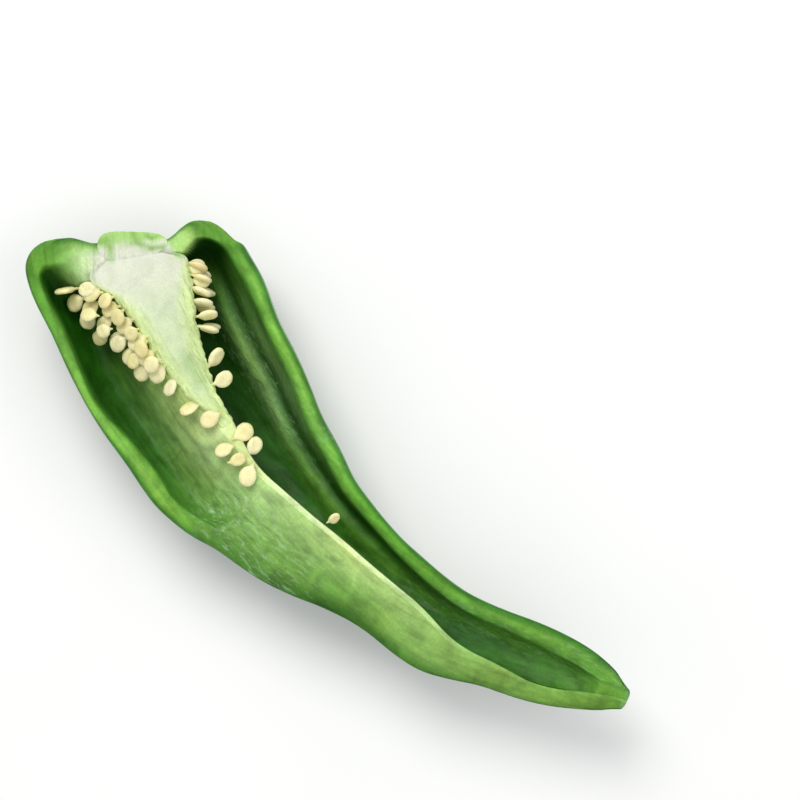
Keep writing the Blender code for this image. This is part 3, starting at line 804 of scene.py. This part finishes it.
def roughen(along, across, height, wet, onTop):
    # Soft unevenness everywhere, more of it deep in the chambers and where the flesh is wet.
    sizes = pepper["uneven"]
    lumps = waves(along, across, height, *pepper["lumps"])
    crinkles = waves(along, across, height, *pepper["crinkles"])
    lumpHeight = sizes["lumps"] + sizes["deepLumps"] * smooth(-0.4, -4.0, height)
    crinkleHeight = sizes["crinkles"] + sizes["wetCrinkles"] * wet
    height = height + onTop * (lumpHeight * lumps + crinkleHeight * crinkles)
    return height + (~onTop) * sizes["skin"] * waves(along, across, height, *pepper["skinWaves"])


def cutSeats(along, across, height, onTop):
    # Lowers the flesh under the core and the stem base.
    coreLeft, coreRight, _ = coreReach(along)
    fromEdge = np.minimum(across - coreLeft, coreRight - across)
    inCore = smooth(0.5, 1.0, fromEdge) * window(along, 5.0, 5.5, 47, 48.4)
    inStem = smooth(0.7, 1.4, stemHalf(along) - np.abs(across)) * (along < 5.9)
    lowered = mix(height, -pepper["seatDrop"], np.maximum(inCore, inStem))
    return np.where(onTop, np.minimum(height, lowered), height)


def shapeEnd(along, across, height):
    # The dimple round the stem base, the lean of the end wall, and the longer right shoulder.
    dimple = pepper["dimple"]
    drop = dimple["drop"] * mix(dimple["leftShare"], 1.0, smooth(-6, 6, across))
    inside = 1 - smooth(dimple["full"], dimple["edge"], np.hypot(across, height))
    along = along + drop * inside * np.clip(1 - along / 9, 0, 1) ** 2
    along = along + pepper["endLean"] * smooth(2.5, 13.0, -height) * np.clip(1 - along / 12, 0, 1) ** 2
    return along - pepper["rightReach"] * window(across, 6, 11, 19, 25) * np.clip(1 - along / 14, 0, 1)


def makeFlesh(skin, flesh):
    section = alongSections()
    parts = leftSide(section) + rightSide(section)
    topCount = sum(part[0].shape[1] for part in parts)
    parts.append(skinSide(section))
    across, height, tint = [np.concatenate([part[at] for part in parts], axis=1) for at in range(3)]
    softenFolds((across, height, tint), topCount)
    along = np.broadcast_to(section["along"], across.shape).copy()
    columns = across.shape[1]
    onTop = (np.arange(columns) < topCount)[None, :]
    wet = wetness(along, across) * onTop
    height = roughen(along, across, height, wet, onTop)
    height = cutSeats(along, across, height, onTop)
    size = shoulder(along, across)
    grids = [along, across * size, height * size, tint, wet]
    caps = pepper["caps"]
    stemCap = endCap(grids, 0, caps["stemMiddle"], 0.0, tone("skin"))
    tipCap = endCap(grids, -1, caps["tipMiddle"], caps["tipBulge"], tint[-1])
    grids = [np.concatenate([first[::-1], grid, last]) for first, grid, last in zip(stemCap, grids, tipCap)]
    along, across, height, tint, wet = grids
    along = shapeEnd(along, across, height)
    height = np.maximum(height, 0.02 - cutHeight)
    faceRow, faceColumn = np.divmod(np.arange((len(along) - 1) * columns), columns)
    between = (faceRow >= caps["rings"]) & (faceRow < len(along) - 1 - caps["rings"])
    faceMaterials = ((faceColumn < topCount - 1) & between).astype(int)
    return gridPiece("pepper_half", along, across, height, tint, wet, [skin, flesh], faceMaterials)


coreFinish = {
    "shader": {
        "Subsurface_Weight": 0.18, "Subsurface_Scale": 0.002, "Subsurface_Radius": (1.0, 1.0, 0.6), "IOR": 1.37,
    },
    "byWet": "fibre",
    "patterns": {"fibre": ((170.0, 900.0, 500.0), 5, 1.0), "patch": (260.0, 5, 0.5), "grain": (2200.0, 3)},
    "shades": [
        ("SHADE", "patch", [(0.3, 0.90), (0.6, 1.02)], None),
        ("SHADE", "fibre", [(0.32, 0.72), (0.5, 0.97), (0.7, 1.12)], "wet"),
        ("SHADE", "grain", [(0.3, 0.93), (0.7, 1.05)], None),
    ],
    "roughness": ("patch", [(0.3, 0.42), (0.7, 0.62)]),
    "bumps": [("lump", 0.9, 0.0010), ("patch", 0.3, 0.0005), ("grain", 0.25, 0.0001)],
}


def makeCore(material):
    # The pale core: flat cut top with a stringy fringe on both edges, rounded body below.
    along = np.linspace(core["start"], core["end"], core["rows"])[:, None]
    left, right, depth = coreReach(along)
    ragged = smooth(8.0, 11.0, along)
    left = left + core["ragged"] * ragged * waves(along, 0 * along - 9, 0 * along, 2.3, 3, 1.0)
    right = right + core["ragged"] * ragged * waves(along, 0 * along + 9, 0 * along, 2.1, 3, 4.0)
    share = np.linspace(0, 1, core["top"])[None, :]
    share = mix(share, 0.5 - 0.5 * np.cos(math.pi * share), 0.85)
    topAcross = mix(left, right, share)
    fromEdge = np.minimum(topAcross - left, right - topAcross)
    band = mix(1.4, 4.2, smooth(8, 18, along)) * mix(1.0, 0.5, smooth(28, 42, along))
    fringe = 1 - smooth(0.15 * band, 1.25 * band, fromEdge)
    ends = smooth(0, 0.7, along - core["start"]) * smooth(0, 1.4, core["end"] - along)
    furrow = bell(topAcross, 2.0, 1.6) * window(along, 27, 33, 36, 40)
    lumps = waves(along, topAcross, 0 * topAcross, (4.5, 1.6), 3, 7.0)
    rounding = -core["edgeDrop"] * (1 - np.clip(fromEdge / 0.9, 0, 1)) ** 2
    topHeight = 0.08 + 0.08 * window(along, 5.2, 5.8, 8, 11) - 0.25 * (1 - ends) - core["furrow"] * furrow
    topHeight = topHeight + (rounding + (0.08 + 0.40 * fringe) * lumps) * ragged

    turn = math.pi * np.linspace(0, 1, core["under"] + 2)[None, 1:-1]
    middle, half = 0.5 * (left + right), 0.5 * (right - left)
    underAcross = middle + half * np.cos(turn) * (1 + 0.05 * np.sin(turn * 2) ** 2)
    underHeight = -core["edgeDrop"] * ragged - depth * np.sin(turn) ** 0.8 * mix(0.5, 1.0, ends)
    underHeight = underHeight + 0.25 * waves(along, underAcross, -depth + 0 * turn, (4.0, 2.0), 2, 2.0)

    tint = readColours(core["heart"], along + 0 * share)
    tint = mixColour(tint, colour(core["strip"]), smooth(36, 44, along))
    tint = mixColour(tint, colour(core["green"]), np.clip(0.8 * furrow, 0, 1))
    tint = mixColour(tint, colour(core["fringe"]), fringe * smooth(7.0, 10.0, along) * 0.85)
    tint = mixColour(tint, collarTint(along, topAcross), 1 - smooth(6.0, 9.5, along))
    down = np.sin(turn) ** 0.8 + 0 * along
    underTint = mixColour(colour(core["fringe"]), colour(core["side"]), smooth(0, 0.35, down))
    underTint = mixColour(underTint, colour(core["sideLow"]), smooth(0.3, 0.9, down))

    grids = [np.concatenate(pair, axis=1) for pair in (
        (topAcross, underAcross), (topHeight, underHeight), (tint, underTint),
        (fringe, np.full_like(underAcross, 0.7)),
    )]
    # A fan closes each end.
    grids = [
        np.concatenate([0 * grid[:1] + grid[:1].mean(axis=1, keepdims=True), grid,
                        0 * grid[-1:] + grid[-1:].mean(axis=1, keepdims=True)])
        for grid in [np.broadcast_to(along, grids[0].shape)] + grids
    ]
    return gridPiece("core", *grids, [material])


stem = {
    "radius": 7.7, "rows": 60, "top": 44, "round": 44, "skin": "#5f8f3c", "scar": "#4d5a2c", "wet": 0.45,
    # Share of the radius, and mm along.
    "profile": [
        (0.0, -0.7), (0.40, -0.66), (0.62, -0.5), (0.80, -0.1), (0.92, 0.6), (0.985, 1.5), (1.0, 2.3),
        (0.985, 3.1), (0.93, 3.9), (0.80, 4.8), (0.60, 5.4), (0.35, 5.65), (0.0, 5.7),
    ],
}


def stemHalf(along):
    places = [spot for _, spot in stem["profile"]]
    widths = [share * stem["radius"] for share, _ in stem["profile"]]
    return np.interp(along, places, widths, left=0, right=0)


def makeStem(material):
    # Half of the cut stem base, standing in the dimple; its flat side is part of the cut face.
    profile = np.array(stem["profile"])
    steps = np.linspace(0, len(profile) - 1, stem["rows"])
    out, along = [np.interp(steps, np.arange(len(profile)), profile[:, at])[:, None] for at in (0, 1)]
    out = out * stem["radius"]
    first, last = profile[0, 1], profile[-1, 1]
    topAcross = out * np.sin(0.5 * math.pi * np.linspace(-1, 1, stem["top"]))[None, :]
    fromEdge = np.minimum(out - np.abs(topAcross), np.minimum(along - first, last - along))
    rough = waves(along, topAcross, 0 * topAcross, 1.9, 3, 6.0)
    topHeight = 0.10 + 0.12 * rough * smooth(0.1, 1.0, fromEdge)
    turn = math.pi * np.linspace(0, 1, stem["round"] + 2)[None, 1:-1]
    wave = 1 + 0.035 * np.cos(5 * turn) * np.sin(turn)
    roundAcross, roundHeight = out * np.cos(turn) * wave, -out * np.sin(turn) * wave
    across = np.concatenate([topAcross, roundAcross], axis=1)
    height = np.concatenate([topHeight, roundHeight], axis=1)
    slanted = along + (0.35 + 0.10 * across) * np.clip(1 - (along - first) / 5.0, 0, 1)
    scars = 0.5 + 0.5 * waves(along, roundAcross, roundHeight, 2.4, 3, 8.0)
    roundTint = mixColour(colour(stem["skin"]), colour(stem["scar"]), scars)
    tint = np.concatenate([collarTint(slanted[:, :stem["top"]], topAcross), roundTint], axis=1)
    wet = np.full(across.shape, stem["wet"])
    return gridPiece("stem_stub", slanted, across, height, tint, wet, [material])


seed = {
    "length": 4.3, "width": 3.8, "thickness": 1.9, "beak": 0.45, "dish": 0.20, "rings": 14, "round": 20,
    "stalk": [(0.80, 0.0), (0.70, 0.20), (0.385, 0.28), (0.15, 0.34)],  # mm below the beak, mm radius
    "tuck": 0.9, "rightSwing": -38, "swing": 14, "roll": 16, "sizeSpread": 0.07, "moreSize": 0.92,
    "cream": "#f6edb2", "gold": "#e9d98c", "grey": "#dcdabb", "brown": "#cfb874", "rim": "#f8f0be",
    "green": "#cfd98c",
    "small": {"rib_seed_12": 0.62, "rib_seed_2": 0.85, "rib_seed_9": 0.85, "rib_seed_10": 0.8},
    # Seeds that fill the cluster: mm along, across and high, then the way and the dip in degrees.
    "more": [
        (9.2, -12.6, -1.2, -105, 20), (12.3, -9.3, 0.2, -95, 38), (16.2, -8.0, 0.3, -85, 42),
        (20.2, -6.9, 0.2, -100, 36), (24.3, -6.4, 0.3, -80, 40), (28.2, -6.2, 0.1, -95, 35),
        (13.2, -14.2, -2.4, -120, 30), (17.4, -12.6, -3.0, -100, 35), (21.3, -10.8, -3.2, -75, 30),
        (25.4, -9.4, -3.0, -90, 35), (12.4, 13.4, -2.6, 60, 20), (16.4, 13.2, -3.4, 50, 25),
    ],
}


seedFinish = {
    "shader": {
        "Subsurface_Weight": 0.25, "Subsurface_Scale": 0.0015, "Subsurface_Radius": (1.0, 0.8, 0.4),
        "Coat_Weight": 0.12, "Coat_Roughness": 0.3, "IOR": 1.40,
    },
    "patterns": {"patch": (420.0, 4, 0.6), "grain": (2600.0, 3)},
    "shades": [
        ("SHADE", "patch", [(0.3, 0.86), (0.6, 1.05)], None),
        ("MIX", "patch", [(0.60, 0.0), (0.78, 0.55)], "#e9d98c"),
        ("SHADE", "grain", [(0.3, 0.92), (0.7, 1.06)], None),
    ],
    "roughness": ("grain", [(0.3, 0.38), (0.7, 0.58)]),
    "bumps": [("patch", 0.4, 0.0004), ("grain", 0.3, 0.00008)],
}


def seedTemplate(material):
    # One flat, kidney-shaped seed: beak and stalk towards -Z, thin way along X.
    rings, around = seed["rings"], seed["round"]
    length, width, thickness = seed["length"], seed["width"], seed["thickness"]
    share = np.arange(rings + 1)[:, None] / rings
    turn = 2 * math.pi * np.arange(around) / around
    rise, girth = -np.cos(math.pi * share), np.sin(math.pi * share) ** 0.85
    x = 0.5 * thickness * girth * np.cos(turn)
    y = 0.5 * width * girth * np.sin(turn)
    dish = seed["dish"] * thickness * np.exp(-((y / width) ** 2 * 14 + rise ** 2 * 2.2))
    x = x - np.sign(x) * dish * girth
    y = y + 0.22 * (1 - rise) * 0.5 * width * 0.35
    z = 0.5 * length * rise - seed["beak"] * np.maximum(0, 1 - share / 0.22) ** 2 + 0 * turn
    rim = np.clip(np.abs(np.sin(turn)) ** 3 * girth + np.abs(rise) ** 4, 0, 1)
    tints = mixColour(colour(seed["cream"]), colour(seed["rim"]), rim)
    stalk = [
        np.stack([wide * np.cos(turn), wide * np.sin(turn) + y[0, 0], z[0, 0] - drop + 0 * turn], axis=1)
        for drop, wide in seed["stalk"]
    ]
    points = np.concatenate(stalk + [np.stack([x, y, z], axis=-1)[1:].reshape(-1, 3)])
    green = np.broadcast_to(colour(seed["green"]), (len(stalk) * around, 3))
    tints = np.concatenate([green, tints[1:].reshape(-1, 3)])
    faces = ringFaces(len(points) // around, around)
    return mergePoles(closedMesh("seedTemplate", points * mm, faces, tints, {}, [material]))


def tuckSeed(middle, longWay, thinWay, swing, draw):
    # Swings a seed about its beak, rolls it a little, and draws it in against what it grows on.
    reach = 0.5 * seed["length"] * mm
    beak = middle - longWay * reach
    turn = Matrix.Rotation(math.radians(swing + draw.uniform(-seed["swing"], seed["swing"])), 3, "Z")
    roll = math.radians(draw.uniform(-seed["roll"], seed["roll"]))
    turn = Matrix.Rotation(roll, 3, Vector(longWay)) @ turn
    longWay, thinWay = np.array(turn @ Vector(longWay)), np.array(turn @ Vector(thinWay))
    middle = beak + longWay * (reach - seed["tuck"] * mm)
    axes = np.stack([thinWay, np.cross(longWay, thinWay), longWay], axis=1)
    return middle, Matrix(axes.tolist()).to_euler()


def readSeeds():
    # Node, middle, turn and growth of each seed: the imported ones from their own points, then more.
    seeds = []
    draw = np.random.default_rng(5)
    for name in sorted(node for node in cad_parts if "_seed_" in node):
        spots = np.array([vert.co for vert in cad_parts[name].data.vertices])
        middle = spots.mean(axis=0)
        _, _, axes = np.linalg.svd(spots - middle, full_matrices=False)
        longWay, thinWay = axes[0], axes[2]
        reach = (spots - middle) @ longWay
        if abs(reach.max()) > abs(reach.min()):
            longWay = -longWay
        if thinWay[2] < 0:
            thinWay = -thinWay
        middle = middle + 0.5 * longWay * (abs(reach.max()) - abs(reach.min()))
        swing = seed["rightSwing"] if "right" in name else 0
        seeds.append((name, *tuckSeed(middle, longWay, thinWay, swing, draw), seed["small"].get(name, 1.0)))
    for along, across, height, swing, dip in seed["more"]:
        forward = headingAt(np.array([along]))[0]
        bearing = math.atan2(forward[1], forward[0]) + math.radians(swing)
        dip = math.radians(dip)
        level = math.cos(dip)
        longWay = np.array([math.cos(bearing) * level, math.sin(bearing) * level, -math.sin(dip)])
        thinWay = np.cross(np.cross(longWay, (0, 0, 1)), longWay)
        thinWay = thinWay / np.linalg.norm(thinWay)
        middle = place(np.array([along]), np.array([across]), np.array([height]))[0]
        seeds.append((None, *tuckSeed(middle, longWay, thinWay, 0, draw), seed["moreSize"]))
    return seeds


def seedTree(template, material):
    # Points carry a turn and a growth; the tree sets one seed on each.
    tree = bpy.data.node_groups.new("setSeeds", "GeometryNodeTree")
    tree.interface.new_socket("Geometry", in_out="INPUT", socket_type="NodeSocketGeometry")
    spread = tree.interface.new_socket("Size Spread", in_out="INPUT", socket_type="NodeSocketFloat")
    size = tree.interface.new_socket("Seed Size", in_out="INPUT", socket_type="NodeSocketFloat")
    tree.interface.new_socket("Geometry", in_out="OUTPUT", socket_type="NodeSocketGeometry")
    source, result = addNode(tree, "NodeGroupInput"), addNode(tree, "NodeGroupOutput")
    turned = addNode(tree, "GeometryNodeInputNamedAttribute", data_type="FLOAT_VECTOR", Name="turn")
    growth = addNode(tree, "GeometryNodeInputNamedAttribute", data_type="FLOAT", Name="growth")
    random = addNode(tree, "FunctionNodeRandomValue", data_type="FLOAT", Seed=7)
    for kind, socket in (("SUBTRACT", random.inputs[2]), ("ADD", random.inputs[3])):
        tree.links.new(addMath(tree, kind, source.outputs["Seed Size"], source.outputs["Size Spread"]), socket)
    scale = addMath(tree, "MULTIPLY", random.outputs[1], growth.outputs["Attribute"])
    shape = addNode(tree, "GeometryNodeObjectInfo", Object=template)
    toPoints = addNode(tree, "GeometryNodeMeshToPoints")
    setOn = addNode(tree, "GeometryNodeInstanceOnPoints")
    real = addNode(tree, "GeometryNodeRealizeInstances")
    coat = addNode(tree, "GeometryNodeSetMaterial", Material=material)
    for output, socket in (
        (source.outputs["Geometry"], toPoints.inputs["Mesh"]),
        (toPoints.outputs["Points"], setOn.inputs["Points"]),
        (shape.outputs["Geometry"], setOn.inputs["Instance"]),
        (turned.outputs["Attribute"], setOn.inputs["Rotation"]),
        (scale, setOn.inputs["Scale"]), (setOn.outputs["Instances"], real.inputs["Geometry"]),
        (real.outputs["Geometry"], coat.inputs["Geometry"]),
        (coat.outputs["Geometry"], result.inputs["Geometry"]),
    ):
        tree.links.new(output, socket)
    return tree, spread.identifier, size.identifier


def shadeSeeds(piece, count):
    # Each seed gets its own shade, a few of them browned or greyed; its edges are a little uneven.
    draw = np.random.default_rng(11)
    tint = piece.data.attributes["tint"]
    values = np.zeros(len(tint.data) * 4)
    tint.data.foreach_get("color", values)
    values = values.reshape(count, -1, 4)
    for number in range(count):
        kind = draw.random()
        target = seed["brown" if kind < 0.06 else "grey" if kind < 0.12 else "gold" if kind < 0.5 else "rim"]
        share = np.full(values.shape[1], 0.15 + 0.35 * draw.random())
        values[number, :, :3] = mixColour(values[number, :, :3], colour(target), share)
    tint.data.foreach_set("color", values.ravel())
    steps = [Vector((0, 0, 0)), Vector((5, 0, 0)), Vector((0, 5, 0))]
    for vert in piece.data.vertices:
        spot = vert.co * 900
        vert.co += 0.00010 * Vector([noise.noise(spot + step) for step in steps])


def makeSeeds(material):
    seeds = readSeeds()
    template = seedTemplate(material)
    mesh = bpy.data.meshes.new("seeds")
    mesh.from_pydata([middle.tolist() for _, middle, _, _ in seeds], [], [])
    turns = mesh.attributes.new("turn", "FLOAT_VECTOR", "POINT")
    turns.data.foreach_set("vector", np.array([tuple(turn) for _, _, turn, _ in seeds]).ravel())
    growths = mesh.attributes.new("growth", "FLOAT", "POINT")
    growths.data.foreach_set("value", [growth for _, _, _, growth in seeds])
    points = bpy.data.objects.new("seedPoints", mesh)
    bpy.context.scene.collection.objects.link(points)
    tree, spread, size = seedTree(template, material)
    setter = points.modifiers.new("setSeeds", "NODES")
    setter.node_group = tree
    setter[spread] = seed["sizeSpread"]
    setter[size] = 1.0
    bpy.context.view_layer.update()
    mesh = bpy.data.meshes.new_from_object(points.evaluated_get(bpy.context.evaluated_depsgraph_get()))
    points.modifiers.remove(setter)
    bpy.data.objects.remove(points)
    bpy.data.objects.remove(template)
    piece = bpy.data.objects.new("seeds", mesh)
    bpy.context.scene.collection.objects.link(piece)
    shadeSeeds(piece, len(seeds))
    return piece, [name for name, *_ in seeds if name]


stage = {
    "floorSize": 9.0, "floorDrop": 0.0002, "floor": ["#f4f5f2", "#fafaf8"], "sky": 0.66,
    # Name, place, size, strength and tone of each lamp.
    "lamps": [
        ("keyLamp", (-0.55, 0.25, 0.75), 0.55, 4.9, (1.0, 0.985, 0.96)),
        ("fillLamp", (0.55, 0.35, 0.65), 0.8, 1.5, (0.96, 0.98, 1.0)),
    ],
    "aim": (-0.00013, 0.02677), "distance": 0.489, "lens": 100, "up": (-0.6922, 0.7218),
}


def makeStage():
    half, drop = 0.5 * stage["floorSize"], -stage["floorDrop"]
    floor = bpy.data.meshes.new("floor")
    corners = [(-half, -half, drop), (half, -half, drop), (half, half, drop), (-half, half, drop)]
    floor.from_pydata(corners, [], [(0, 1, 2, 3)])
    thing = bpy.data.objects.new("floor", floor)
    bpy.context.scene.collection.objects.link(thing)
    material, tree, shader, coords = newMaterial("paleFloor", Roughness=0.75)
    stops = [(at, tuple(colour(shade))) for at, shade in zip((0.3, 0.7), stage["floor"])]
    tree.links.new(addRamp(tree, addNoise(tree, coords, 9.0, 2), stops), shader.inputs["Base Color"])
    floor.materials.append(material)
    print("floor laid")


def makeLights():
    # The key lamp stands off the stem end, the fill lamp off the tip.
    for name, spot, size, energy, tint in stage["lamps"]:
        lamp = bpy.data.lights.new(name, "AREA")
        lamp.shape = "DISK"
        lamp.size = size
        lamp.energy = energy
        lamp.color = tint
        thing = bpy.data.objects.new(name, lamp)
        thing.location = spot
        thing.rotation_euler = (-Vector(spot)).to_track_quat("-Z", "Y").to_euler()
        bpy.context.scene.collection.objects.link(thing)
    world = bpy.data.worlds.new("paleRoom")
    world.use_nodes = True
    world.node_tree.nodes["Background"].inputs["Color"].default_value = (0.97, 0.98, 1.0, 1)
    world.node_tree.nodes["Background"].inputs["Strength"].default_value = stage["sky"]
    bpy.context.scene.world = world
    bpy.context.scene.view_settings.view_transform = "Standard"
    print("lamps and room lit")


def makeCamera():
    # Straight above the cut face, turned so that the half lies on the slant.
    camera = bpy.data.cameras.new("camera")
    camera.lens = stage["lens"]
    camera.sensor_width = 36
    thing = bpy.data.objects.new("camera", camera)
    up, back = Vector((*stage["up"], 0)).normalized(), Vector((0, 0, 1))
    aim = Vector((*stage["aim"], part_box("pepper_flesh")[1].z))
    turn = Matrix((up.cross(back), up, back)).transposed().to_4x4()
    thing.matrix_world = Matrix.Translation(aim + back * stage["distance"]) @ turn
    bpy.context.scene.collection.objects.link(thing)
    bpy.context.scene.camera = thing
    print("camera set")


skinMaterial = makeMaterial("waxySkin", skinFinish)
fleshMaterial = makeMaterial("juicyFlesh", fleshFinish)
coreMaterial = makeMaterial("spongyCore", coreFinish)
finishPiece(makeFlesh(skinMaterial, fleshMaterial), "pepper_green", "pepper_flesh")
finishPiece(makeCore(coreMaterial), "core_white", "placenta_core")
finishPiece(makeStem(coreMaterial), "stem_green", "stem_base")
seedPiece, seedNodes = makeSeeds(makeMaterial("seedCoat", seedFinish))
finishPiece(seedPiece, "seed_cream", *seedNodes)
makeStage()
makeLights()
makeCamera()
